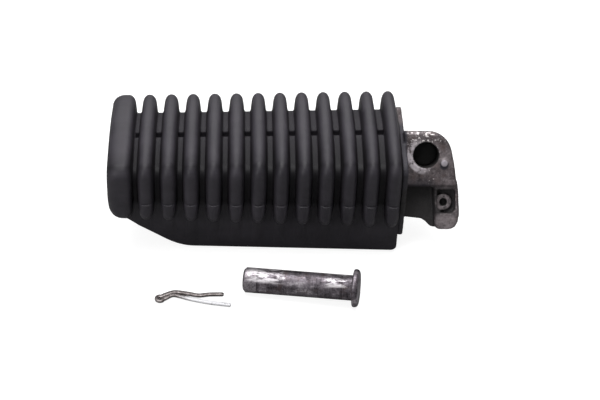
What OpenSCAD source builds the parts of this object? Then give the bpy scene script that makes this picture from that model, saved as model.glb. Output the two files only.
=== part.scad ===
/* [Rubber pad] */
// Length of the rubber from its outer end to the flange
pad_len = 92.8; // [80:0.1:110]
// Width over the ribs at the outer end
pad_w = 43.6; // [38:0.1:50]
// Width that the ribs gain towards the flange
pad_w_gain = 1.0; // [0:0.1:5]
// Height from the flat underside to the top of the ribs, at the outer end
pad_h = 39; // [36:0.1:46]
// Height that the ribs gain towards the flange
top_gain = 2.4; // [0:0.1:4]
// Height by which the middle of the top stands over its corners
crown = 1.8; // [0.5:0.1:3]
// Depth of the grooves between the ribs
rib_h = 4.4; // [3:0.1:5.5]
// Thickness of a rib at its foot
rib_foot = 5.2; // [4:0.1:5.6]
// Thickness of a rib near its crest
rib_crest = 3.6; // [2.4:0.1:3.8]
// Distance from rib to rib
rib_pitch = 7.14; // [6.8:0.01:8]
// Number of narrow ribs
rib_count = 12; // [8:1:13]
// Radius of the ribs' upper corners
corner_r = 4.7; // [3:0.1:7]
// Height of the ribs' lower ends over the flat underside, at the outer end
rib_low_h = 15.6; // [14:0.1:17]
// Height that the ribs' lower ends lose towards the flange
low_loss = 2.7; // [0:0.1:4]
// Width of the lengthwise slot between the grooves' two halves
slot_w = 2.4; // [2:0.1:5]
// Depth of that slot
slot_d = 2.6; // [1.5:0.1:4]
// Width of the flat underside at the outer end
keel_w = 28; // [24:0.1:30]
// Width that the flat underside gains towards the flange
keel_gain = 5; // [0:0.1:5]
// Length of the bevel under the outer end
bevel_len = 18.5; // [12:0.1:26]
// Height of that bevel
bevel_h = 12.9; // [8:0.1:13.5]
// Height of the mould line over the flat underside
mould_h = 23.4; // [22:0.1:26]

/* [Cast arm] */
// Thickness of the flange against the rubber
flange_t = 1.8; // [1.2:0.1:3]
// Distance from the flange's outer face to the pivot axis
flange_to_pivot = 6.5; // [6.3:0.1:9]
// Height of the flange's lower edge over the flat underside
flange_up = 6.4; // [3:0.1:8]
// Turn of the lug about the pad's length
lug_turn = 30; // [10:1:34]
// Thickness of the lug along the pivot axis
lug_t = 16; // [13:0.1:18]
// Radius of the eye round the pivot
eye_r = 7.4; // [6.8:0.1:8]
// Height of the pivot axis over the flat underside
pivot_h = 28.8; // [27:0.1:31]
// Width of the bar inside the rubber
bar_w = 20; // [14:0.1:24]
// Height of the bar inside the rubber
bar_h = 10; // [8:0.1:11]
// Length of the bar inside the rubber
bar_len = 80; // [50:0.1:84]
// Distance from the pivot down to the lower end of the tab
tab_low = 24.1; // [22.5:0.1:25]
// Bore of the small hole in the tab
tab_hole_d = 2.3; // [1.6:0.1:3]

/* [Pivot pin and split pin] */
// Diameter of the pivot pin
pin_d = 8; // [7.5:0.1:8.2]
// Length of the pin under its head
pin_len = 34.7; // [30:0.1:40]
// Diameter of the pin's head
head_d = 12; // [10.5:0.1:13]
// Thickness of the pin's head
head_t = 1.9; // [1.4:0.1:3]
// Distance from the pin's plain end to the split pin's hole
cross_in = 4.4; // [3.4:0.1:6]
// Thickness of each leg of the split pin
leg_d = 1.4; // [1.2:0.1:1.6]

/* [Fits] */
// Room between the pivot pin and its bore, on the diameter
pin_room = 0.3; // [0.1:0.05:0.6]
// Room between the bar and the rubber round it
bar_room = 0.1; // [0.05:0.05:0.3]
// Room between the split pin's two legs and their hole
cross_room = 0.3; // [0.1:0.05:0.5]

/* [Hidden] */
// Places along the peg, from the pivot axis
flange_x = -flange_to_pivot - flange_t;
pad_end_x = flange_x - pad_len;
floor_z = -pivot_h;
mould_z = floor_z + mould_h;
last_rib_x = flange_x - rib_foot / 2;
first_rib_x = last_rib_x - (rib_count - 1) * rib_pitch;
end_rib_in = first_rib_x - rib_pitch + rib_foot / 2;
end_round = 3.7;
// Length over which the slot's ends rise to the ribs' feet
slot_end = 0.2;
keel_x = pad_end_x + end_round;
// The pad's section
core_less = 0.4;
low_r = 5.1;
mould_step = 0.3;
keel_r = 2.2;
bevel_soft = 0.25;
// The bar in the middle of the section
bar_z = floor_z + pad_h - rib_h - crown - slot_d - 1 - bar_h / 2;
bar_r = 2;
// The lug, in its own upright frame
plate_t = 5;
back_in = 1.6;
tab_t = 7;
tab_back = 1.2;
pocket_d = 2.2;
ring_d = 5.4;
tab_hole_at = [6.1, -15.4];
face_low = 10.3;
web_t = 7;
bore_d = pin_d + pin_room;
cross_d = 2 * leg_d * 0.62 + cross_room;
// Where the loose pieces lie on the floor
pin_at = [-57.9, -34.7];
pin_yaw = -10;
pin_rise = asin((head_d - pin_d) / 2 / pin_len);
split_z = floor_z + leg_d / 2;

// Points of an arc from angle a to angle b
function arc(cx, cz, r, a, b, n = 6) =
    [for (i = [0:n]) [cx + r * cos(a + (b - a) * i / n), cz + r * sin(a + (b - a) * i / n)]];

// Height of the ribs, half their width, their lower end and half the underside's width at a place along the pad
function along(x) = (x - pad_end_x) / pad_len;
function rib_top(x) = floor_z + pad_h + top_gain * along(x);
function rib_half(x) = (pad_w + pad_w_gain * along(x)) / 2;
function rib_low(x) = floor_z + rib_low_h - low_loss * along(x);
function keel_half(x) = (keel_w + keel_gain * along(x)) / 2;

// Height of the underside, with a soft corner between the bevel and the flat
function rise(t) = t < -bevel_soft ? 0 : t > bevel_soft ? t : pow(t + bevel_soft, 2) / bevel_soft / 4;
function under(x) = floor_z + bevel_h * min(1, rise((keel_x + bevel_len - x) / bevel_len));

// Half width of the smooth lower body, a mould step inside the grooves at its top
function keel_side(x, z) =
    let (w1 = rib_half(x) - rib_h - mould_step, t = (mould_z - z) / mould_h)
    w1 + (keel_half(x) - w1) * max(0, min(1, t));

// Half of the pad's outline, from the middle of its top to the middle of its underside:
// drawn in by a distance, with the slot cut to a depth, and drawn in all round on the end rib
function half_outline(x, in, cut) =
    let (hw = rib_half(x) - in, r = corner_r - core_less * in / rib_h, end = x < keel_x,
         low = rib_low(x) + (end ? in : 0), flat_w = hw - r, high = rib_top(x) - in, base = under(x),
         kr = keel_r, lr = min(low_r, mould_z - 0.3 - low))
    concat([[slot_w / 2 - 0.4, high - cut], [slot_w / 2, high]],
        [for (t = [0.4, 0.75]) [flat_w * t, high - crown * t * t]],
        [for (a = [90, 66, 42, 20, 0]) [flat_w + r * cos(a), high - crown - r + r * sin(a)]],
        [[hw, mould_z + mould_step], [max(hw - mould_step / 2, keel_side(x, mould_z)), mould_z]],
        [for (a = [0, 30, 55, 80]) let (z = low + lr * (1 - sin(a)))
            [max(hw - mould_step / 2 - lr * (1 - cos(a)), end ? 1 : keel_side(x, z)), z]],
        end ? [[hw - lr - 0.6, low], [hw - lr - 1.2, low]]
            : [[keel_side(x, base + kr), base + kr], [keel_side(x, base) - kr, base]]);

// Half of the outline of the pocket for the bar, with as many points
function half_pocket() =
    let (w = bar_w / 2 + bar_room, h = bar_h / 2 + bar_room, r = bar_r)
    concat([for (t = [0.04, 0.08, 0.25, 0.5]) [w * t, bar_z + h]],
        [for (a = [90, 68, 45, 22, 0]) [w - r + r * cos(a), bar_z + h - r + r * sin(a)]],
        [[w, bar_z], [w, bar_z - 1]],
        [for (a = [0, 30, 60, 90]) [w - r + r * cos(a), bar_z - h + r - r * sin(a)]],
        [[w * 0.6, bar_z - h], [w * 0.35, bar_z - h]]);

// A closed ring at a place along the pad, from half an outline
function ring(x, h) =
    let (n = len(h))
    [for (i = [0:2 * n - 1]) let (p = i < n ? h[i] : h[2 * n - 1 - i]) [x, i < n ? p[0] : -p[0], p[1]]];

// Sections of the end rib and of each narrow rib: place along the pad, distance drawn in, depth of the slot
END_RIB = concat(
    [for (p = [[0, 0.65], [0.08, 0.4], [0.38, 0.13], [1, 0]]) [pad_end_x + end_round * p[0], end_round * p[1], 0]],
    [[end_rib_in - 2.4, 0, 0], [end_rib_in - 1.3, 0.5, 0], [end_rib_in - 0.75, 1.5, 0], [end_rib_in, rib_h, 0],
        [end_rib_in + slot_end, rib_h, slot_d]]);
function rib_sections(x) = concat([[x - rib_foot / 2 - slot_end, rib_h, slot_d]],
    [for (p = [[-rib_foot, rib_h], [-rib_crest, 1.3], [-rib_crest * 0.55, 0.22],
        [rib_crest * 0.55, 0.22], [rib_crest, 1.3], [rib_foot, rib_h]]) [x + p[0] / 2, p[1], 0]],
    x < last_rib_x - 1 ? [[x + rib_foot / 2 + slot_end, rib_h, slot_d]] : []);
SECTIONS = concat(END_RIB, [for (i = [rib_count - 1:-1:0]) each rib_sections(last_rib_x - i * rib_pitch)]);

// The pad as one skin over its sections, turned in at the flange round the bar
module rubber_pad() {
    rings = concat([for (s = SECTIONS) ring(s[0], half_outline(s[0], s[1], s[2]))],
        [for (x = [flange_x, flange_x - bar_len - bar_room]) ring(x, half_pocket())]);
    n = len(rings[0]);
    m = len(rings);
    middles = [for (r = [rings[0], rings[m - 1]]) (r[0] + r[n - 1] + r[n / 2 - 1] + r[n / 2]) / 4];
    color([0.16, 0.155, 0.165]) polyhedron(concat([for (r = rings) each r], middles), concat(
        [for (i = [0:n - 1]) [(i + 1) % n, i, m * n]],
        [for (k = [0:m - 2], i = [0:n - 1]) let (j = (i + 1) % n, a = k * n, b = a + n) [a + i, a + j, b + i]],
        [for (k = [0:m - 2], i = [0:n - 1]) let (j = (i + 1) % n, a = k * n, b = a + n) [a + j, b + j, b + i]],
        [for (i = [0:n - 1]) [(m - 1) * n + i, (m - 1) * n + (i + 1) % n, m * n + 1]]));
}

// A rounded rectangle for the bar
function rounded(w, h, r) =
    concat(arc(w / 2 - r, h / 2 - r, r, 0, 90), arc(-w / 2 + r, h / 2 - r, r, 90, 180),
        arc(-w / 2 + r, -h / 2 + r, r, 180, 270), arc(w / 2 - r, -h / 2 + r, r, 270, 360));

// The bar inside the rubber, run a little into the flange
module bar_solid() {
    translate([flange_x - bar_len, 0, bar_z]) rotate([90, 0, 90])
        linear_extrude(bar_len + flange_t / 3) polygon(rounded(bar_w, bar_h, bar_r));
}

// Outline of the flange: the pad's section without its ribs, kept off the floor
function flange_outline() =
    let (hw = rib_half(flange_x) - rib_h + 0.4, top = rib_top(flange_x) - crown - rib_h + 0.5, r = 4,
         low = floor_z + flange_up, kw = keel_half(flange_x) - 0.6)
    concat(arc(-hw + r, top - r, r, 180, 95, 5), arc(hw - r, top - r, r, 85, 0, 5),
        arc(kw - 1.5, low + 1.5, 1.5, -10, -90, 3), arc(-kw + 1.5, low + 1.5, 1.5, -90, -170, 3));

module flange() {
    translate([flange_x, 0, 0]) rotate([90, 0, 90]) linear_extrude(flange_t) polygon(flange_outline());
}

// Outline of the lug's face, drawn in by a distance on its free sides
function face_outline(in) =
    let (r = eye_r - in)
    concat([[-flange_to_pivot - 0.6, -face_low + in], [-flange_to_pivot - 0.6, r]],
        arc(1.1, 0, r, 90, 12, 8),
        [[9.6 - in, -5], [10.3 - in, -face_low + in]]);

// Outline of the tab that hangs from the lug's outer side
function tab_outline(in) =
    [[2.6 + in, -face_low + 2], [2.8 + in, -12.6], [3.2 + in, -tab_low + 5], [3.4 + in, -tab_low + 1],
        [4.3 + in, -tab_low], [8.6 - in, -tab_low], [10 - in, -tab_low + 0.7], [10.9 - in, -tab_low + 2.3],
        [11.3 - in, -tab_low + 4.6], [11.2 - in, -tab_low + 7.5], [10.8 - in, -face_low - 1],
        [10.3 - in, -face_low + 2]];

// A block between two places on the pivot axis, in the lug's upright frame
module across(y_from, y_to, outline) {
    translate([0, y_to, 0]) rotate([90, 0, 0]) linear_extrude(y_to - y_from) polygon(outline);
}

// The pivot lug, upright, with its front face at minus Y
module lug() {
    front = -lug_t / 2;
    difference() {
        union() {
            across(front, front + 0.8, face_outline(0.5));
            across(front + 0.7, front + plate_t, face_outline(0));
            across(front + plate_t - 0.1, lug_t / 2, face_outline(back_in));
            across(front + tab_back, front + tab_back + tab_t, tab_outline(0));
            across(front + tab_back - 0.5, front + tab_back + 1, tab_outline(0.6));
            across(-web_t / 2, web_t / 2, [[-flange_to_pivot - 0.6, -face_low + 3],
                [-flange_to_pivot - 0.6, -face_low - 10.3], [-2.6, -face_low - 10.7], [-0.6, -face_low - 10.9],
                [0.8, -face_low - 11.9], [2.3, -tab_low + 0.4], [3.6, -tab_low + 0.1], [6, -face_low + 3]]);
            translate([5.9, front + 0.6, -2.5]) rotate([90, 0, 0]) cylinder(r = 1.15, h = 1.1, $fn = 24);
        }
        translate([0, lug_t / 2 + 1, 0]) rotate([90, 0, 0]) cylinder(d = bore_d, h = lug_t + 2, $fn = 64);
        difference() {
            across(front - 1, front + tab_back + pocket_d,
                [[3.9, -face_low - 0.9], [9.8, -face_low - 0.9], [9.9, -tab_low + 6.2], [8.6, -tab_low + 5.2],
                    [5.4, -tab_low + 5.2], [3.9, -tab_low + 7]]);
            translate([tab_hole_at[0], front + tab_back + pocket_d + 1, tab_hole_at[1]]) rotate([90, 0, 0])
                cylinder(d = ring_d, h = pocket_d + 0.2, $fn = 40);
        }
        translate([tab_hole_at[0], lug_t / 2 + 1, tab_hole_at[1]]) rotate([90, 0, 0])
            cylinder(d = tab_hole_d, h = lug_t + 2, $fn = 32);
    }
}

module arm() {
    color([0.45, 0.43, 0.43]) {
        union() {
            flange();
            bar_solid();
            intersection() {
                rotate([-lug_turn, 0, 0]) lug();
                translate([-flange_to_pivot - 0.5, -40, -40]) cube([60, 80, 80]);
            }
        }
    }
}

// The loose pivot pin, lying on its head's rim and its plain end
module pivot_pin() {
    color([0.6, 0.58, 0.56])
        translate([pin_at[0], pin_at[1], floor_z + pin_d / 2]) rotate([0, 0, pin_yaw]) rotate([0, 90 - pin_rise, 0])
            difference() {
                rotate_extrude($fn = 72) polygon(concat([[0, 0], [pin_d / 2 - 0.7, 0], [pin_d / 2, 0.7],
                    [pin_d / 2, pin_len]], arc(head_d / 2 - 0.5, pin_len + 0.5, 0.5, -90, 0, 4),
                    arc(head_d / 2 - 1.1, pin_len + head_t - 1.1, 1.1, 0, 90, 5), [[0, pin_len + head_t]]));
                translate([0, 0, cross_in]) rotate([0, 0, 35]) rotate([90, 0, 0])
                    cylinder(d = cross_d, h = pin_d + 2, center = true, $fn = 32);
            }
}

// A wire through a list of points
module wire(points, d) {
    for (i = [0:len(points) - 2]) hull() {
        translate(points[i]) sphere(d = d, $fn = 12);
        translate(points[i + 1]) sphere(d = d, $fn = 12);
    }
}

// Points of the split pin: one leg out, the eye, and the other leg back
EYE_AT = [-84.3, -40.2];
EYE_R = 1.05;
LEG_A = [[-64.3, -38], [-68.8, -38.1], [-72.2, -38.6], [-75.6, -37.8], [-79.7, -37.1], [-82.4, -38.2]];
LEG_B = [[-82.6, -40], [-80.4, -38.5], [-77.8, -39.1], [-74.6, -40.3], [-68.6, -41.9], [-62, -43]];

function flat(points) = [for (p = points) [p[0], p[1], split_z]];

module split_pin() {
    color([0.62, 0.61, 0.6])
        wire(flat(concat(LEG_A, arc(EYE_AT[0], EYE_AT[1], EYE_R, 70, 340, 9), LEG_B)), leg_d);
}

arm();
rubber_pad();
pivot_pin();
split_pin();
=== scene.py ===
"""Looks of a motorcycle passenger footpeg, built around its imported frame."""
import logging
import math
from dataclasses import dataclass
from enum import Enum
from typing import Callable, List, Sequence, Tuple

import bpy
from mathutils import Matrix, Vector


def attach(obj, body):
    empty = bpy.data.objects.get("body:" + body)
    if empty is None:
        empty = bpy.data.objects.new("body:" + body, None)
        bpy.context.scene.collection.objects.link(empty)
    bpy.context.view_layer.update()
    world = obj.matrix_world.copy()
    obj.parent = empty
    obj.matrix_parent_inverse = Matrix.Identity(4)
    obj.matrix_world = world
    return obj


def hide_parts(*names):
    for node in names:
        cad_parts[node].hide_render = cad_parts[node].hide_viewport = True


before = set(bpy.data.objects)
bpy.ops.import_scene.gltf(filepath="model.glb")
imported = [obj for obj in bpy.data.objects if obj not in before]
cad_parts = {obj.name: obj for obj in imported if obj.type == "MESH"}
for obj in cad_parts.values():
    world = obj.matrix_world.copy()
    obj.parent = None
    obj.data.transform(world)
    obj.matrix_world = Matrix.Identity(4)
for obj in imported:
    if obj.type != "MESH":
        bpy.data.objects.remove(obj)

LOG = logging.getLogger("footpeg")
MM = 0.001
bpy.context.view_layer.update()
Vec = Tuple[float, float, float]
Colour = Tuple[float, float, float]
Socket = bpy.types.NodeSocket
LUG_TURN = 30.0
FLOOR = -28.8


class Shade(Enum):
    """The finishes of the footpeg."""

    RUBBER = "pad_rubber"
    CASTING = "cast_metal"
    PIN = "worn_steel"
    WIRE = "split_steel"


def linear(value: float) -> float:
    """Turns an 8-bit picture value into a linear one."""
    v = value / 255
    return v / 12.92 if v <= 0.04045 else ((v + 0.055) / 1.055) ** 2.4


def rgb(red: float, green: float, blue: float) -> Colour:
    """Turns an 8-bit picture colour into a linear one."""
    return linear(red), linear(green), linear(blue)


class Nodes:
    """A short way to write a material's node tree."""

    def __init__(self, name: str) -> None:
        """Starts an empty material.

        Args:
            name: The material's name.
        """
        self.material = bpy.data.materials.new(name)
        self.material.use_nodes = True
        self.tree = self.material.node_tree
        self.tree.nodes.clear()
        self.output = self.add("ShaderNodeOutputMaterial")
        self.object = self.add("ShaderNodeTexCoord").outputs["Object"]

    def add(self, kind: str, **settings: object) -> bpy.types.Node:
        """Adds a node and sets its properties.

        Args:
            kind: The node's type.
            settings: Properties to set on it.

        Returns:
            The node.
        """
        node = self.tree.nodes.new(kind)
        for key, value in settings.items():
            setattr(node, key, value)
        return node

    def link(self, start: Socket, end: Socket) -> None:
        """Links two sockets."""
        self.tree.links.new(start, end)

    def place(self, centre: Vec = (0, 0, 0), turn: Vec = (0, 0, 0), stretch: Vec = (1, 1, 1)) -> Socket:
        """Gives the object's coordinates as seen from a centred, turned and stretched frame.

        Args:
            centre: The frame's origin in millimetres.
            turn: The frame's turn about each axis, in degrees.
            stretch: How long a pattern is along each of the frame's axes.

        Returns:
            The socket with the coordinates.
        """
        node = self.add("ShaderNodeMapping", vector_type="TEXTURE")
        node.inputs["Location"].default_value = [c * MM for c in centre]
        node.inputs["Rotation"].default_value = [math.radians(a) for a in turn]
        node.inputs["Scale"].default_value = stretch
        self.link(self.object, node.inputs["Vector"])
        return node.outputs["Vector"]

    def noise(self, size_mm: float, detail: float = 3.0, rough: float = 0.6,
              where: Socket | None = None) -> Socket:
        """Adds a noise whose patches are about a given size.

        Args:
            size_mm: Size of a patch in millimetres.
            detail: Octaves of the noise.
            rough: Share of each finer octave.
            where: Coordinates, or None for the object's own.

        Returns:
            The noise's value.
        """
        node = self.add("ShaderNodeTexNoise")
        node.inputs["Scale"].default_value = 1 / (size_mm * MM)
        node.inputs["Detail"].default_value = detail
        node.inputs["Roughness"].default_value = rough
        self.link(where or self.object, node.inputs["Vector"])
        return node.outputs["Fac"]

    def ramp(self, value: Socket, stops: Sequence[Tuple[float, Colour]]) -> Socket:
        """Adds a colour ramp.

        Args:
            value: The value that drives it.
            stops: Places and colours.

        Returns:
            The colour socket.
        """
        node = self.add("ShaderNodeValToRGB")
        band = node.color_ramp
        while len(band.elements) < len(stops):
            band.elements.new(0.5)
        for element, (at, colour) in zip(band.elements, stops):
            element.position = at
            element.color = (*colour, 1)
        self.link(value, node.inputs["Fac"])
        return node.outputs["Color"]

    def band(self, value: Socket, low: float, high: float, start: float = 0.0, end: float = 1.0) -> Socket:
        """Maps a value from start at low to end at high, and holds it outside."""
        node = self.add("ShaderNodeMapRange")
        node.inputs["From Min"].default_value = low
        node.inputs["From Max"].default_value = high
        node.inputs["To Min"].default_value = start
        node.inputs["To Max"].default_value = end
        self.link(value, node.inputs["Value"])
        return node.outputs["Result"]

    def math(self, kind: str, one: Socket, two: Socket | float) -> Socket:
        """Joins two values by arithmetic, held between 0 and 1.

        Args:
            kind: The operation.
            one: The first value.
            two: The second value, a socket or a number.

        Returns:
            The result.
        """
        node = self.add("ShaderNodeMath", operation=kind, use_clamp=True)
        self.link(one, node.inputs[0])
        if isinstance(two, (int, float)):
            node.inputs[1].default_value = two
        else:
            self.link(two, node.inputs[1])
        return node.outputs[0]

    def both(self, *values: Socket) -> Socket:
        """Multiplies masks, so that all have to hold."""
        result = values[0]
        for value in values[1:]:
            result = self.math("MULTIPLY", result, value)
        return result

    def blend(self, one: Socket, two: Socket, share: float) -> Socket:
        """Adds two values, the first with a share and the second with the rest."""
        return self.math("ADD", self.math("MULTIPLY", one, share), self.math("MULTIPLY", two, 1 - share))

    def mix(self, share: Socket, one: Socket | Colour, two: Socket | Colour) -> Socket:
        """Mixes two colours.

        Args:
            share: Share of the second colour.
            one: The first colour.
            two: The second colour.

        Returns:
            The mixed colour.
        """
        node = self.add("ShaderNodeMix", data_type="RGBA")
        self.link(share, node.inputs["Factor"])
        for value, socket in ((one, node.inputs[6]), (two, node.inputs[7])):
            if isinstance(value, tuple):
                socket.default_value = (*value, 1)
            else:
                self.link(value, socket)
        return node.outputs[2]

    def axis(self, name: str, where: Socket | None = None) -> Socket:
        """Gives one coordinate, X, Y or Z, in metres."""
        node = self.add("ShaderNodeSeparateXYZ")
        self.link(where or self.object, node.inputs[0])
        return node.outputs[name]

    def beyond(self, name: str, where: Socket, low_mm: float, high_mm: float) -> Socket:
        """Gives a mask that rises from 0 to 1 between two places on an axis."""
        return self.band(self.axis(name, where), low_mm * MM, high_mm * MM)

    def reach(self, where: Socket, keep: Vec) -> Socket:
        """Gives the distance from a frame's origin, with each axis weighted.

        Args:
            where: Coordinates in that frame.
            keep: The weight of each axis, 0 to leave it out.

        Returns:
            The distance in metres.
        """
        scale = self.add("ShaderNodeVectorMath", operation="MULTIPLY")
        scale.inputs[1].default_value = keep
        self.link(where, scale.inputs[0])
        size = self.add("ShaderNodeVectorMath", operation="LENGTH")
        self.link(scale.outputs["Vector"], size.inputs[0])
        return size.outputs["Value"]

    def wear(self, low: float, high: float) -> Socket:
        """Gives 1 on outer edges and 0 on flats and in hollows."""
        return self.band(self.add("ShaderNodeNewGeometry").outputs["Pointiness"], low, high)

    def surface(self, height: Socket, depth_mm: float, **values: object) -> bpy.types.Material:
        """Finishes the material with one shader and a bump.

        Args:
            height: The bump's height.
            depth_mm: Depth of the bump in millimetres.
            values: The shader's inputs, as numbers, colours or sockets.

        Returns:
            The material.
        """
        shader = self.add("ShaderNodeBsdfPrincipled")
        for key, value in values.items():
            socket = shader.inputs[key.replace("_", " ")]
            if isinstance(value, bpy.types.NodeSocket):
                self.link(value, socket)
            else:
                socket.default_value = value
        bump = self.add("ShaderNodeBump")
        bump.inputs["Distance"].default_value = depth_mm * MM
        self.link(height, bump.inputs["Height"])
        self.link(bump.outputs["Normal"], shader.inputs["Normal"])
        self.link(shader.outputs["BSDF"], self.output.inputs["Surface"])
        return self.material


@dataclass(frozen=True)
class PadRubber:
    """Smooth black rubber with a soft sheen, a little paler where dust sits, and painted shade on the groove floors,
    darkest on the near side.
    """

    deep: Colour = rgb(35, 33, 38)
    dusty: Colour = rgb(51, 48, 54)
    # The groove colours are painted shade for the groove floors, the near side darker.
    groove: Colour = rgb(37, 35, 39)
    near_groove_shade: Colour = rgb(20, 19, 21)

    def make(self) -> bpy.types.Material:
        """Builds the rubber's material."""
        n = Nodes(Shade.RUBBER.value)
        clouds = n.noise(16, 4, 0.62)
        smear = n.noise(5, 5, 0.7, n.place(stretch=(2.5, 1, 1)))
        grain = n.noise(0.35, 3, 0.7)
        patches = n.blend(clouds, smear, 0.55)
        worn = n.mix(n.band(patches, 0.38, 0.68), self.deep, self.dusty)
        keel = n.beyond("Z", n.object, -7.0, -9.5)
        out = n.math("MAXIMUM", n.band(self.above_core(n), 0.0006, 0.0034, 0.12), n.math("MULTIPLY", keel, 0.8))
        # Painted shade: groove floors get a dark colour of their own, darker still towards the near side (negative Y).
        floor = n.mix(n.beyond("Y", n.object, -1.0, -12.0), self.groove, self.near_groove_shade)
        base = n.mix(out, floor, worn)
        rough = n.band(patches, 0.35, 0.7, 0.44, 0.6)
        height = n.blend(grain, n.noise(2.6, 4, 0.6), 0.3)
        return n.surface(height, 0.07, Base_Color=base, Roughness=rough,
                         Specular_IOR_Level=n.band(out, 0, 1, 0.1, 0.25))

    def above_core(self, n: Nodes) -> Socket:
        """Gives how far a place stands out of the core between the ribs, in metres.

        Args:
            n: The material's nodes.

        Returns:
            The distance, which is 0 on the groove floors and largest on the ribs' crests.
        """
        place = n.place((-101.1, 0.0, 10.2 - 4.4), (0, -math.degrees(math.atan(2.4 / 92.8)), 0))
        side = n.add("ShaderNodeMath", operation="ABSOLUTE")
        n.link(n.axis("Y"), side.inputs[0])
        past = n.add("ShaderNodeMath", operation="SUBTRACT")
        n.link(side.outputs[0], past.inputs[0])
        past.inputs[1].default_value = (22.0 - 4.4) * MM
        out = n.add("ShaderNodeMath", operation="MAXIMUM")
        n.link(n.axis("Z", place), out.inputs[0])
        n.link(past.outputs[0], out.inputs[1])
        return out.outputs[0]


@dataclass(frozen=True)
class CastMetal:
    """Stained grey casting, pitted all over, rubbed bright round the bore, with painted glints on top and painted
    shade below and in the holes.
    """

    dark: Colour = rgb(52, 47, 48)
    mid: Colour = rgb(90, 83, 85)
    pale: Colour = rgb(122, 115, 117)
    bright: Colour = rgb(226, 220, 220)
    brown: Colour = rgb(84, 71, 69)
    ring: Colour = rgb(196, 189, 194)
    boss: Colour = rgb(104, 97, 99)
    tip: Colour = rgb(128, 121, 123)
    nub: Colour = rgb(148, 143, 149)
    # Near black: painted shade over black paint on the web, and dark blotches on the tab.
    grease: Colour = rgb(37, 35, 36)
    # Near black for inside the bore and the small hole: painted shade, over the grease plugs there.
    hollow: Colour = rgb(20, 19, 19)
    # Black paint with painted shade: used below the nub, on the lower face and over the flange.
    black_paint_and_shade: Colour = rgb(46, 44, 50)
    face_y: float = -8.0
    nub_at: Vec = (5.9, 0.0, -2.5)

    def make(self) -> bpy.types.Material:
        """Builds the casting's material."""
        n = Nodes(Shade.CASTING.value)
        lug = n.place(turn=(-LUG_TURN, 0, 0))
        stain = n.noise(5.5, 5, 0.62)
        fleck = n.noise(0.8, 4, 0.75)
        tone = n.blend(stain, fleck, 0.6)
        base = n.ramp(tone, [(0.38, self.dark), (0.5, self.mid), (0.62, self.pale)])
        base = n.mix(n.math("MULTIPLY", n.band(n.noise(3.1, 4, 0.7), 0.5, 0.66), 0.55), base, self.brown)
        front = n.beyond("Y", lug, self.face_y + 1.2, self.face_y + 0.5)
        from_bore = n.reach(lug, (1, 0, 1))
        ring = n.both(front, n.band(from_bore, 0.0065, 0.0059))
        left = n.reach(n.place(self.in_world((-4.6, 0.0, -1.2)), (-LUG_TURN, 0, 0)), (1, 0, 1))
        low_left = n.band(left, 0.0072, 0.0035)
        rubbed = n.both(ring, low_left, n.band(n.noise(1.5, 4, 0.7), 0.36, 0.52))
        base = n.mix(rubbed, base, self.ring)
        # Painted shadow: a dark spot just below the nub.
        nub_shadow = n.reach(n.place(self.in_world((5.9, 0.0, -3.3)), (-LUG_TURN, 0, 0)), (1, 0, 1))
        base = n.mix(n.both(front, n.band(nub_shadow, 0.0016, 0.0011)), base, self.black_paint_and_shade)
        nub = n.band(n.reach(n.place(self.in_world(self.nub_at), (-LUG_TURN, 0, 0)), (1, 0, 1)), 0.0012, 0.0009)
        base = n.mix(n.both(front, nub), base, self.nub)
        # Bright specks on the lug's top: scratches plus painted glints where light falls on it. Edge wear and
        # scattered flecks are real wear.
        top_left = n.both(n.beyond("Z", lug, 3.2, 4.8), n.beyond("X", lug, 4.5, 2.0), n.beyond("X", lug, -6.6, -5.6))
        top_scratches_and_glints = n.both(top_left, n.band(n.noise(0.85, 3, 0.6), 0.54, 0.62))
        edges = n.both(n.wear(0.53, 0.58), n.band(n.noise(1.3, 4, 0.7), 0.46, 0.6))
        few = n.band(n.noise(0.8, 2, 0.5), 0.7, 0.76)
        shine = n.math("ADD", top_scratches_and_glints, n.math("ADD", n.math("MULTIPLY", edges, 0.55), n.math("MULTIPLY", few, 0.7)))
        base = n.mix(shine, base, self.bright)
        below = n.beyond("Z", lug, -9.4, -12.0)
        set_back = n.beyond("Y", lug, self.face_y + 1.5, self.face_y + 2.3)
        # Painted shade: the lower left of the lug's face darkens where it turns towards the web.
        low_face_shade = n.both(n.beyond("Z", lug, -6.6, -10.0), n.beyond("X", lug, 6.0, 0.0))
        base = n.mix(n.math("MULTIPLY", low_face_shade, 0.85), base, self.black_paint_and_shade)
        # Painted shade over black paint: the web set back below the lug is painted near black.
        base = n.mix(n.both(below, set_back), base, self.grease)
        # The flange is black paint with painted shade over it; its far top edge keeps the lighter grey as a painted
        # highlight.
        lit_top_edge = n.both(n.beyond("Z", n.object, 5.3, 5.9), n.beyond("Y", n.object, 5.0, 9.0))
        shadowed = n.math("SUBTRACT", n.beyond("X", lug, -5.9, -6.5), lit_top_edge)
        base = n.mix(shadowed, base, self.black_paint_and_shade)
        from_hole = n.reach(n.place(self.in_world((6.1, 0.0, -15.4)), (-LUG_TURN, 0, 0)), (1, 0, 1))
        # Dark blotches over the tab round the small hole.
        tab_blotches = n.both(n.beyond("Z", lug, -9.6, -11.2), n.beyond("Z", lug, -20.4, -18.6), n.beyond("X", lug, 9.9, 8.9),
                       n.band(n.noise(1.6, 4, 0.7), 0.26, 0.42))
        base = n.mix(n.math("MULTIPLY", tab_blotches, 0.92), base, self.grease)
        boss = n.both(below, n.band(from_hole, 0.0029, 0.0022), n.band(n.noise(1.1, 4, 0.7), 0.34, 0.58))
        base = n.mix(boss, base, self.boss)
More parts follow.
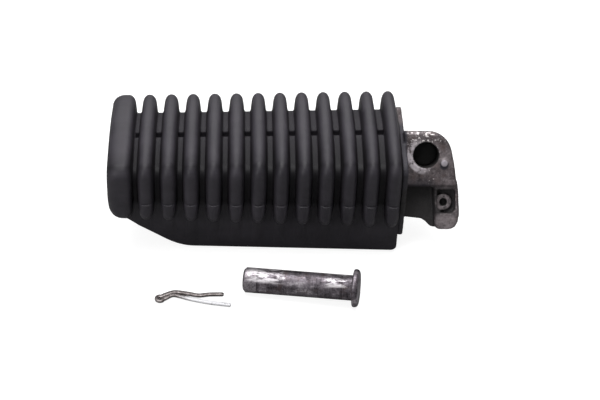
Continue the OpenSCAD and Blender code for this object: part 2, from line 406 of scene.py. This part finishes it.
        # Painted shade: inside the bore and the small hole, plugs included, the casting is painted near black.
        deep = n.band(from_bore, 0.0045, 0.0041)
        hole = n.band(from_hole, 0.0014, 0.0012)
        black = n.math("MAXIMUM", deep, n.both(below, hole))
        tip = n.both(n.beyond("Z", lug, -18.8, -20.4), n.beyond("X", lug, 3.4, 5.4), n.band(tone, 0.36, 0.56))
        base = n.mix(n.math("MULTIPLY", tip, 0.8), base, self.tip)
        base = n.mix(black, base, self.hollow)
        dull = n.math("MAXIMUM", n.math("MAXIMUM", black, shadowed), n.both(below, set_back))
        rough = n.band(n.math("SUBTRACT", n.math("ADD", shine, rubbed), dull), 0, 1, 0.62, 0.36)
        return n.surface(n.blend(n.noise(0.35, 3, 0.65), fleck, 0.35), 0.16, Base_Color=base,
                         Metallic=n.band(dull, 0, 1, 0.5, 0.0), Roughness=rough, Specular_IOR_Level=0.3)

    @staticmethod
    def in_world(at: Vec) -> Vec:
        """Turns a place in the lug's upright frame into one in the object's."""
        a = math.radians(-LUG_TURN)
        return at[0], at[1] * math.cos(a) - at[2] * math.sin(a), at[1] * math.sin(a) + at[2] * math.cos(a)


@dataclass(frozen=True)
class WornSteel:
    """Turned steel, mottled by old grease, with rubbed rings across the pin and a painted highlight along one side
    near each end.
    """

    dark: Colour = rgb(44, 39, 43)
    mid: Colour = rgb(104, 98, 104)
    pale: Colour = rgb(182, 176, 181)
    # Colour of the painted highlight.
    shine: Colour = rgb(232, 228, 231)
    brown: Colour = rgb(74, 62, 62)
    at: Vec = (-57.9, -34.7, -24.8)
    yaw: float = -10.0
    rise: float = 3.3
    rings: Tuple[float, ...] = (4.7, 31.4)
    end_band: float = 4.4

    def make(self) -> bpy.types.Material:
        """Builds the pin's material."""
        n = Nodes(Shade.PIN.value)
        pin = n.place(self.at, (0, 90 - self.rise, self.yaw))
        along = n.axis("Z", pin)
        mottle = n.noise(3.0, 5, 0.7)
        fine = n.noise(0.5, 4, 0.7)
        streak = n.noise(1.6, 4, 0.65, n.place(self.at, (0, 90 - self.rise, self.yaw), (1, 1, 3.2)))
        turned = n.noise(0.8, 3, 0.7, n.place(self.at, (0, 90 - self.rise, self.yaw), (6, 6, 0.45)))
        tone = n.blend(n.blend(mottle, streak, 0.55), n.blend(fine, turned, 0.5), 0.68)
        base = n.ramp(tone, [(0.41, self.dark), (0.53, self.mid), (0.65, self.pale)])
        base = n.mix(n.math("MULTIPLY", n.band(n.noise(2.2, 4, 0.7), 0.55, 0.66), 0.7), base, self.brown)
        for place in self.rings:
            off = n.add("ShaderNodeMath", operation="SUBTRACT")
            n.link(along, off.inputs[0])
            off.inputs[1].default_value = place * MM
            size = n.add("ShaderNodeMath", operation="ABSOLUTE")
            n.link(off.outputs[0], size.inputs[0])
            base = n.mix(n.math("MULTIPLY", n.band(size.outputs[0], 0.00035, 0.0001), 0.75), base, self.dark)
        end = n.both(n.band(along, (self.end_band + 0.2) * MM, (self.end_band - 0.2) * MM), n.band(fine, 0.36, 0.5))
        base = n.mix(n.math("MULTIPLY", end, 0.3), base, self.pale)
        # Painted highlight: a pale, streaky band along one side of the pin near each end.
        near_end = n.both(n.beyond("Z", pin, 0.8, 2.5), n.beyond("Z", pin, 14.0, 11.0))
        near_head = n.both(n.beyond("Z", pin, 25.5, 27.5), n.beyond("Z", pin, 33.6, 32.4))
        painted_highlight = n.both(n.beyond("X", pin, -1.9, -2.8), n.math("ADD", near_end, near_head), n.band(streak, 0.46, 0.6))
        base = n.mix(n.math("MULTIPLY", painted_highlight, 0.6), base, self.shine)
        rough = n.band(tone, 0.4, 0.6, 0.56, 0.36)
        return n.surface(tone, 0.12, Base_Color=base, Metallic=0.8, Roughness=rough)


@dataclass(frozen=True)
class DrawnWire:
    """Drawn wire of the split pin, dark with old grease on one leg; the other leg is painted pale as a reflection of
    the white floor.
    """

    dark: Colour = rgb(58, 52, 51)
    mid: Colour = rgb(128, 122, 121)
    pale: Colour = rgb(194, 194, 197)
    fork: Vec = (-77.0, -39.3, 0.0)
    tilt: float = -8.0

    def make(self) -> bpy.types.Material:
        """Builds the wire's material."""
        n = Nodes(Shade.WIRE.value)
        tone = n.blend(n.noise(2.0, 4, 0.7), n.noise(0.4, 3, 0.7), 0.65)
        base = n.ramp(tone, [(0.4, self.dark), (0.58, self.mid)])
        fork = n.place(self.fork, (0, 0, self.tilt))
        # Painted reflection: the second leg is painted pale, as if it mirrored the white floor, and is not metallic.
        second = n.both(n.beyond("Y", fork, 0.1, -0.3), n.beyond("X", fork, -2.0, 3.0))
        base = n.mix(n.both(second, n.band(tone, 0.36, 0.46)), base, self.pale)
        return n.surface(tone, 0.05, Base_Color=base, Metallic=n.band(second, 0, 1, 0.7, 0.0), Roughness=0.42)


MAKERS: dict[Shade, Callable[[], bpy.types.Material]] = {
    Shade.RUBBER: PadRubber().make,
    Shade.CASTING: CastMetal().make,
    Shade.PIN: WornSteel().make,
    Shade.WIRE: DrawnWire().make,
}


class Finishes:
    """Makes each finish once."""

    def __init__(self) -> None:
        """Starts with no finish made."""
        self.made: dict[Shade, bpy.types.Material] = {}

    def dress(self, piece: bpy.types.Object, shade: Shade) -> None:
        """Puts a finish on all of a piece."""
        if shade not in self.made:
            self.made[shade] = MAKERS[shade]()
        piece.data.materials.clear()
        piece.data.materials.append(self.made[shade])


def clear_selection() -> None:
    """Deselects everything, in object mode."""
    if bpy.context.mode != "OBJECT":
        bpy.ops.object.mode_set(mode="OBJECT")
    bpy.ops.object.select_all(action="DESELECT")


def take(piece: bpy.types.Object) -> bpy.types.Object:
    """Selects one piece alone and makes it active."""
    clear_selection()
    piece.select_set(True)
    bpy.context.view_layer.objects.active = piece
    return piece


def apply(piece: bpy.types.Object, kind: str, **settings: object) -> None:
    """Adds a modifier to a piece and applies it.

    Args:
        piece: The piece.
        kind: The modifier's type.
        settings: Its properties.
    """
    take(piece)
    step = piece.modifiers.new(kind.lower(), kind)
    for key, value in settings.items():
        setattr(step, key, value)
    bpy.ops.object.modifier_apply(modifier=step.name)


def smooth(piece: bpy.types.Object, degrees: float) -> None:
    """Shades a piece smooth up to an angle between faces."""
    take(piece)
    bpy.ops.object.shade_smooth_by_angle(angle=math.radians(degrees))


def wrap(name: str, rings: Sequence[Sequence[Vec]]) -> bpy.types.Object:
    """Wraps a grid round closed rings of as many points each, and closes its ends.

    Args:
        name: The new piece's name.
        rings: The rings in order, in millimetres.

    Returns:
        The closed piece.
    """
    clear_selection()
    across = len(rings[0]) + 1
    bpy.ops.mesh.primitive_grid_add(x_subdivisions=across - 1, y_subdivisions=len(rings) - 1, size=1)
    piece = bpy.context.object
    piece.name = name
    points = [point for ring in rings for point in (*ring, ring[0])]
    for vertex, point in zip(piece.data.vertices, points):
        vertex.co = Vector(point) * MM
    bpy.ops.object.mode_set(mode="EDIT")
    bpy.ops.mesh.select_all(action="SELECT")
    bpy.ops.mesh.remove_doubles(threshold=0.001 * MM)
    bpy.ops.mesh.fill_holes(sides=0)
    bpy.ops.mesh.select_all(action="SELECT")
    bpy.ops.mesh.normals_make_consistent(inside=False)
    bpy.ops.object.mode_set(mode="OBJECT")
    return piece


def copy_node(node: str, name: str) -> bpy.types.Object:
    """Makes a merged copy of a node's mesh as a new piece at the origin.

    Args:
        node: The node's name.
        name: The new piece's name.

    Returns:
        The new piece.
    """
    piece = bpy.data.objects.new(name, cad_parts[node].data.copy())
    bpy.context.scene.collection.objects.link(piece)
    take(piece)
    bpy.ops.object.mode_set(mode="EDIT")
    bpy.ops.mesh.select_all(action="SELECT")
    bpy.ops.mesh.remove_doubles(threshold=0.002 * MM)
    bpy.ops.object.mode_set(mode="OBJECT")
    return piece


@dataclass
class RubberPad:
    """The ribbed rubber block, modelled as one skin drawn along its length. Sizes are in millimetres."""

    finishes: Finishes
    length: float = 92.8
    flange_x: float = -8.3
    width: float = 43.6
    width_gain: float = 1.0
    height: float = 39.0
    top_gain: float = 2.4
    crown: float = 1.8
    rib_h: float = 4.4
    foot: float = 5.2
    pitch: float = 7.14
    count: int = 12
    low_h: float = 15.6
    low_loss: float = 2.7
    slot_w: float = 2.4
    slot_d: float = 2.6
    keel_w: float = 28.0
    keel_gain: float = 5.0
    keel_r: float = 2.2
    bevel_len: float = 18.5
    bevel_h: float = 12.9
    bevel_soft: float = 0.25
    mould_h: float = 23.4
    mould_step: float = 0.3
    ledge: float = 0.2
    corner_r: float = 4.7
    core_less: float = 0.4
    low_r: float = 5.1
    end_round: float = 3.7
    end_inset: float = 2.4
    bar_w: float = 20.6
    bar_h: float = 10.6
    bar_z: float = -4.6
    bar_len: float = 80.2

    @property
    def start(self) -> float:
        """Place of the pad's outer end."""
        return self.flange_x - self.length

    def along(self, x: float) -> float:
        """Gives how far along the pad a place is, from 0 to 1."""
        return (x - self.start) / self.length

    def half(self, x: float) -> float:
        """Gives the ribs' half width at a place."""
        return (self.width + self.width_gain * self.along(x)) / 2

    def underside(self, x: float) -> float:
        """Gives the height of the underside, with its bevel and its rounded inner end."""
        t = (self.start + self.end_round + self.bevel_len - x) / self.bevel_len
        soft = self.bevel_soft
        rise = 0 if t < -soft else t if t > soft else (t + soft) ** 2 / soft / 4
        near = min(max((x - self.flange_x + 1.8) / 1.8, 0), 1)
        return FLOOR + self.bevel_h * min(1, rise) + 1.6 * (1 - math.sqrt(1 - near * near))

    def keel_side(self, x: float, z: float) -> float:
        """Gives the smooth lower body's half width at a place and height."""
        wide = self.half(x) - self.rib_h - self.mould_step
        share = min(max((FLOOR + self.mould_h - z) / self.mould_h, 0), 1)
        return wide + ((self.keel_w + self.keel_gain * self.along(x)) / 2 - wide) * share

    def outline(self, x: float, inset: float, cut: float) -> List[Tuple[float, float]]:
        """Gives half the pad's outline, from the top's middle to the underside's.

        Args:
            x: The place along the pad.
            inset: Distance drawn in from the ribs' crests.
            cut: Depth of the lengthwise slot there.

        Returns:
            Points of width and height.
        """
        end = x < self.start + self.end_round
        depth = inset / self.rib_h
        hw = self.half(x) - inset
        r = self.corner_r - self.core_less * depth
        low = FLOOR + self.low_h - self.low_loss * self.along(x) + inset * (1 if end else 0.75)
        flat = hw - r
        high = FLOOR + self.height + self.top_gain * self.along(x) - inset
        line = FLOOR + self.mould_h
        lr = min(self.low_r, line - 0.4 - low)
        base = self.underside(x)
        lip = self.slot_w / 2
        points = [(0.0, high - cut), (lip - 0.35, high - cut), (lip - 0.08, high - cut * 0.92),
                  (lip, high - cut * 0.25), (lip + 0.12, high - cut * 0.06), (lip + 0.4, high - 0.01)]
        points += [(flat * t, high - self.crown * t * t) for t in (0.25, 0.4, 0.55, 0.7, 0.85)]
        for i in range(9):
            a = math.radians(90 - 90 * i / 8)
            points.append((flat + r * math.cos(a), high - self.crown - r + r * math.sin(a)))
        turn = high - self.crown - r
        raised = 0 if x < self.start + 7 else 1 - depth
        points += [(hw, turn + (line - turn) * t) for t in (0.35, 0.7, 0.9)] + [(hw - 0.22 * raised, line + 0.05)]
        out = hw + self.ledge * raised - self.mould_step * depth
        points += [(max(out, self.keel_side(x, line)), line - 0.12)]
        for i in range(9):
            a = math.radians(84 * i / 8)
            z = low + lr * (1 - math.sin(a))
            points.append((max(out - lr * (1 - math.cos(a)), 1 if end else self.keel_side(x, z)), min(z, line - 0.2)))
        if end:
            return points + [((out - lr) * (1 - t), low) for t in (0.04, 0.2, 0.35, 0.5, 0.65, 0.8, 1)]
        wall = self.keel_side(x, base + self.keel_r)
        middle = (points[-1][1] + base + self.keel_r) / 2
        points += [(self.keel_side(x, middle), middle)]
        for i in range(4):
            a = math.radians(90 * i / 3)
            points.append((wall - self.keel_r * (1 - math.cos(a)), base + self.keel_r * (1 - math.sin(a))))
        return points + [(points[-1][0] * 0.5, base), (0.0, base)]

    def sections(self) -> List[Vec]:
        """Gives the place, inset and slot depth of each section, from the outer end."""
        rows = []
        for i in range(7):
            a = math.radians(90 * i / 6)
            rows.append((self.start + self.end_round * (1 - math.cos(a)), self.end_inset * (1 - math.sin(a)), 0.0))
        flank = ((0.5, 0.05), (1.0, 0.24), (1.42, 0.55), (1.75, 0.95), (2.0, 1.5), (2.15, 2.2), (2.28, 3.0),
                 (2.36, 3.6), (2.44, 4.0), (2.56, 4.27), (2.72, self.rib_h))
        reach = flank[-1][0]
        last = self.flange_x - self.foot / 2
        centre = last - self.count * self.pitch + self.foot / 2 - reach + 0.75
        rows += [(centre - 0.6, 0.0, 0.0), (centre, 0.0, 0.0)]
        rows += [(centre + dx * 1.1, inset, 0.0) for dx, inset in flank]
        for k in range(self.count):
            left = (self.count - 1 - k) / (self.count - 1)
            x = last - (self.count - 1 - k) * self.pitch + 0.2 * left
            wide = 1 + 0.15 * left
            rows += [(rows[-1][0] + 0.12, self.rib_h, self.slot_d), (x - reach - 0.12, self.rib_h, self.slot_d)]
            rows += [(x - dx, inset, self.cut(inset)) for dx, inset in reversed(flank)] + [(x, 0.0, 0.0)]
            rows += [(x + dx * wide, inset, self.cut(inset) if k < self.count - 1 else 0.0)
                     for dx, inset in flank if x + dx * wide < self.flange_x - 0.02]
        return rows + [(self.flange_x, self.rib_h - 0.4, 0.0)]

    def lean(self, x: float, z: float) -> float:
        """Gives how far the outer end is drawn in towards its lower edge."""
        return 0.9 * max(0.0, 1 - (x - self.start) / 9) * max(0.0, (-3 - z) / 10) ** 2

    def cut(self, inset: float) -> float:
        """Gives the slot's depth on a rib's flank, where the slot runs a little into the rib's foot."""
        return self.slot_d if inset > 3.8 else 0.0

    def pocket(self, ring: Sequence[Vec], x: float) -> List[Vec]:
        """Gives the pocket's ring for the bar, each point in line with one of the pad's last ring."""
        points = []
        for _, y, z in ring:
            dz = z - self.bar_z
            share = min(self.bar_w / 2 / max(abs(y), 1e-6), self.bar_h / 2 / max(abs(dz), 1e-6))
            points.append((x, y * share, self.bar_z + dz * share))
        return points

    def build(self) -> bpy.types.Object:
        """Models the pad and turns it in at the flange round the bar.

        Returns:
            The pad.
        """
        rings = []
        for x, inset, cut in self.sections():
            h = self.outline(x, inset, cut)
            rings.append([(x + self.lean(x, z), y, z) for y, z in h]
                         + [(x + self.lean(x, z), -y, z) for y, z in reversed(h[1:-1])])
        last = rings[-1]
        rings += [self.pocket(last, self.flange_x), self.pocket(last, self.flange_x - self.bar_len)]
        piece = wrap("ribbed_pad", rings)
        smooth(piece, 50)
        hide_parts("rubber_pad")
        self.finishes.dress(piece, Shade.RUBBER)
        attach(piece, "root")
        return piece


@dataclass
class CastArm:
    """The casting: its flange and lug, softened and pitted, its bar, and dark plugs of old grease deep in its holes,
    which stand in for their shade.
    """

    finishes: Finishes
    cut_x: float = -12.5
    voxel: float = 0.34
    grease_shade_plugs: Tuple[Tuple[Vec, float, float], ...] = (((0.0, 1.0, 0.0), 4.3, 7.0), ((6.1, -3.0, -15.4), 1.3, 2.4))

    def grease_shade_plug(self, at: Vec, radius: float, depth: float) -> bpy.types.Object:
        """Makes a plug of hardened grease that sits deep in a hole and stands in for the hole's shade.

        Args:
            at: Its middle in the lug's upright frame.
            radius: Its radius, a little over the hole's.
            depth: Its depth along the hole.

        Returns:
            The lump.
        """
        clear_selection()
        bpy.ops.mesh.primitive_cylinder_add(vertices=40, radius=radius * MM, depth=depth * MM, end_fill_type="NGON")
        lump = bpy.context.object
        bpy.ops.object.mode_set(mode="EDIT")
        bpy.ops.mesh.select_all(action="SELECT")
        bpy.ops.mesh.bevel(offset=radius * 0.25 * MM, segments=3)
        bpy.ops.object.mode_set(mode="OBJECT")
        lump.location = Vector(CastMetal.in_world(at)) * MM
        lump.rotation_euler = (math.radians(90 - LUG_TURN), 0, 0)
        take(lump)
        bpy.ops.object.transform_apply(location=True, rotation=True, scale=True)
        return lump

    def build(self) -> bpy.types.Object:
        """Softens a copy of the arm's outer part and keeps its hidden bar plain.

        Returns:
            The arm.
        """
        halves = []
        for outer in (True, False):
            half = copy_node("arm", "arm_outer" if outer else "arm_bar")
            bpy.ops.object.mode_set(mode="EDIT")
            bpy.ops.mesh.select_all(action="SELECT")
            bpy.ops.mesh.bisect(plane_co=(self.cut_x * MM, 0, 0), plane_no=(1, 0, 0), use_fill=True,
                                clear_inner=outer, clear_outer=not outer)
            bpy.ops.object.mode_set(mode="OBJECT")
            halves.append(half)
        casting, bar = halves
        apply(casting, "REMESH", mode="VOXEL", voxel_size=self.voxel * MM)
        apply(casting, "SMOOTH", factor=0.5, iterations=4)
        for size, strength in ((3.4, 0.22), (0.9, 0.12)):
            lumps = bpy.data.textures.new("cast_lumps", "CLOUDS")
            lumps.noise_scale = size * MM
            lumps.noise_depth = 3
            apply(casting, "DISPLACE", texture=lumps, texture_coords="LOCAL", strength=strength * MM, mid_level=0.5)
        grease_shade_plugs = [self.grease_shade_plug(*values) for values in self.grease_shade_plugs]
        clear_selection()
        for part in (bar, casting, *grease_shade_plugs):
            part.select_set(True)
        bpy.context.view_layer.objects.active = casting
        bpy.ops.object.join()
        casting.name = "cast_arm"
        smooth(casting, 60)
        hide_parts("arm")
        self.finishes.dress(casting, Shade.CASTING)
        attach(casting, "root")
        return casting


@dataclass
class LooseHardware:
    """The pivot pin and the split pin that lie beside the peg."""

    finishes: Finishes
    wire: float = 1.4
    eye_at: Tuple[float, float] = (-84.3, -40.2)
    eye_r: float = 1.05
    leg_a: Tuple[Tuple[float, float], ...] = ((-64.3, -38), (-68.8, -38.1), (-72.2, -38.6), (-75.6, -37.8),
                                              (-79.7, -37.1), (-82.4, -38.2))
    leg_b: Tuple[Tuple[float, float], ...] = ((-82.6, -40), (-80.4, -38.5), (-77.8, -39.1), (-74.6, -40.3),
                                              (-68.6, -41.9), (-62, -43))

    def build_pin(self) -> bpy.types.Object:
        """Dresses the pivot pin."""
        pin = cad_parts["pivot_pin"]
        self.finishes.dress(pin, Shade.PIN)
        return pin

    def route(self) -> List[Vector]:
        """Gives a smooth path through the first leg, the eye and the second leg."""
        eye = []
        for i in range(10):
            a = math.radians(70 + 270 * i / 9)
            eye.append((self.eye_at[0] + self.eye_r * math.cos(a), self.eye_at[1] + self.eye_r * math.sin(a)))
        stops = [Vector((x, y, FLOOR + self.wire / 2)) for x, y in (*self.leg_a, *eye, *self.leg_b)]
        path = []
        for i in range(len(stops) - 1):
            a, b, c, d = stops[max(i - 1, 0)], stops[i], stops[i + 1], stops[min(i + 2, len(stops) - 1)]
            steps = max(2, round((c - b).length / 0.35))
            for k in range(steps):
                t = k / steps
                path.append(0.5 * (2 * b + (c - a) * t + (2 * a - 5 * b + 4 * c - d) * t * t
                                   + (3 * b - a - 3 * c + d) * t ** 3))
        return path + [stops[-1]]

    def build_wire(self) -> bpy.types.Object:
        """Models the split pin as one half-round wire along its path.

        Returns:
            The split pin.
        """
        path = self.route()
        rings = []
        for i, at in enumerate(path):
            ahead = (path[min(i + 1, len(path) - 1)] - path[max(i - 1, 0)]).normalized()
            side = ahead.cross(Vector((0, 0, 1))).normalized()
            from_end = min(i, len(path) - 1 - i)
            slim = (0.55, 0.86, 0.97, 1.0)[min(from_end, 3)]
            ring = []
            for k in range(16):
                a = math.radians(360 * k / 16)
                up = math.sin(a) if math.sin(a) < 0.35 else 0.35 + (math.sin(a) - 0.35) * 0.45
                ring.append(at + (side * math.cos(a) + Vector((0, 0, up))) * self.wire / 2 * slim)
            rings.append([tuple(p) for p in ring])
        wire = wrap("bent_split_pin", rings)
        smooth(wire, 60)
        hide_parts("split_pin")
        self.finishes.dress(wire, Shade.WIRE)
        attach(wire, "root")
        return wire


@dataclass
class Studio:
    """The camera, the pale floor and the soft lamps. Places are in millimetres."""

    aim: Vec = (-39.46, 0.0, -20.2)
    distance: float = 557.5
    elevation: float = 38.63
    swing: float = 2.92
    roll: float = 2.23
    lens_px: float = 1684.4
    picture_px: float = 600.0

    def camera(self) -> None:
        """Places the camera at the photograph's angle."""
        data = bpy.data.cameras.new("camera")
        data.sensor_width = 36
        data.lens = self.lens_px / self.picture_px * data.sensor_width
        data.clip_start = 0.01
        cam = bpy.data.objects.new("camera", data)
        bpy.context.scene.collection.objects.link(cam)
        up = math.radians(self.elevation)
        side = math.radians(self.swing)
        away = Vector((-math.sin(side) * math.cos(up), -math.cos(side) * math.cos(up), math.sin(up)))
        cam.location = (Vector(self.aim) + away * self.distance) * MM
        cam.rotation_euler = (-away).to_track_quat("-Z", "Y").to_euler()
        cam.rotation_euler.rotate_axis("Z", math.radians(self.roll))
        bpy.context.scene.camera = cam

    def lamp(self, name: str, at: Vec, size: Tuple[float, float], watts: float) -> None:
        """Hangs one soft lamp that faces the peg.

        Args:
            name: The lamp's name.
            at: Its place.
            size: Its width and height.
            watts: Its power.
        """
        data = bpy.data.lights.new(name, "AREA")
        data.shape = "RECTANGLE"
        data.size, data.size_y = size[0] * MM, size[1] * MM
        data.energy = watts
        lamp = bpy.data.objects.new(name, data)
        bpy.context.scene.collection.objects.link(lamp)
        lamp.location = Vector(at) * MM
        lamp.rotation_euler = (Vector((-45, 0, 0)) * MM - lamp.location).to_track_quat("-Z", "Y").to_euler()

    def backdrop(self) -> None:
        """Lays the white floor, which keeps a soft shadow, and sets the world."""
        clear_selection()
        bpy.ops.mesh.primitive_plane_add(size=6, location=(0, 0, FLOOR * MM - 0.0001))
        floor = bpy.context.object
        floor.name = "floor"
        n = Nodes("floor_white")
        path = n.add("ShaderNodeLightPath")
        seen = n.math("ADD", path.outputs["Is Camera Ray"], path.outputs["Is Transmission Ray"])
        diffuse = n.add("ShaderNodeBsdfDiffuse")
        diffuse.inputs["Color"].default_value = (0.3, 0.3, 0.3, 1)
        glow = n.add("ShaderNodeEmission")
        glow.inputs["Color"].default_value = (1, 1, 1, 1)
        n.link(n.math("MULTIPLY", seen, 0.86), glow.inputs["Strength"])
        both = n.add("ShaderNodeAddShader")
        n.link(diffuse.outputs[0], both.inputs[0])
        n.link(glow.outputs[0], both.inputs[1])
        n.link(both.outputs[0], n.output.inputs["Surface"])
        floor.data.materials.append(n.material)
        world = bpy.data.worlds.new("world")
        bpy.context.scene.world = world
        world.use_nodes = True
        tree = world.node_tree
        back = tree.nodes["Background"]
        back.inputs["Color"].default_value = (1, 1, 1, 1)
        rays = tree.nodes.new("ShaderNodeLightPath")
        level = tree.nodes.new("ShaderNodeMapRange")
        level.inputs["To Min"].default_value = 0.3
        level.inputs["To Max"].default_value = 1.0
        tree.links.new(rays.outputs["Is Camera Ray"], level.inputs["Value"])
        tree.links.new(level.outputs["Result"], back.inputs["Strength"])

    def build(self) -> None:
        """Sets up the whole studio."""
        self.camera()
        self.backdrop()
        self.lamp("top", (-60, 20, 560), (520, 420), 5.4)
        self.lamp("back", (-60, 460, 300), (600, 200), 1.2)
        self.lamp("front_left", (-420, -420, 300), (260, 260), 1.2)
        bpy.context.scene.view_settings.view_transform = "Standard"


def main() -> None:
    """Builds every piece in order."""
    logging.basicConfig(level=logging.INFO, format="%(message)s")
    finishes = Finishes()
    Studio().build()
    loose = LooseHardware(finishes)
    for maker in (RubberPad(finishes).build, CastArm(finishes).build, loose.build_pin, loose.build_wire):
        piece = maker()
        LOG.info("made %s", piece.name)


if __name__ == "__main__":
    main()
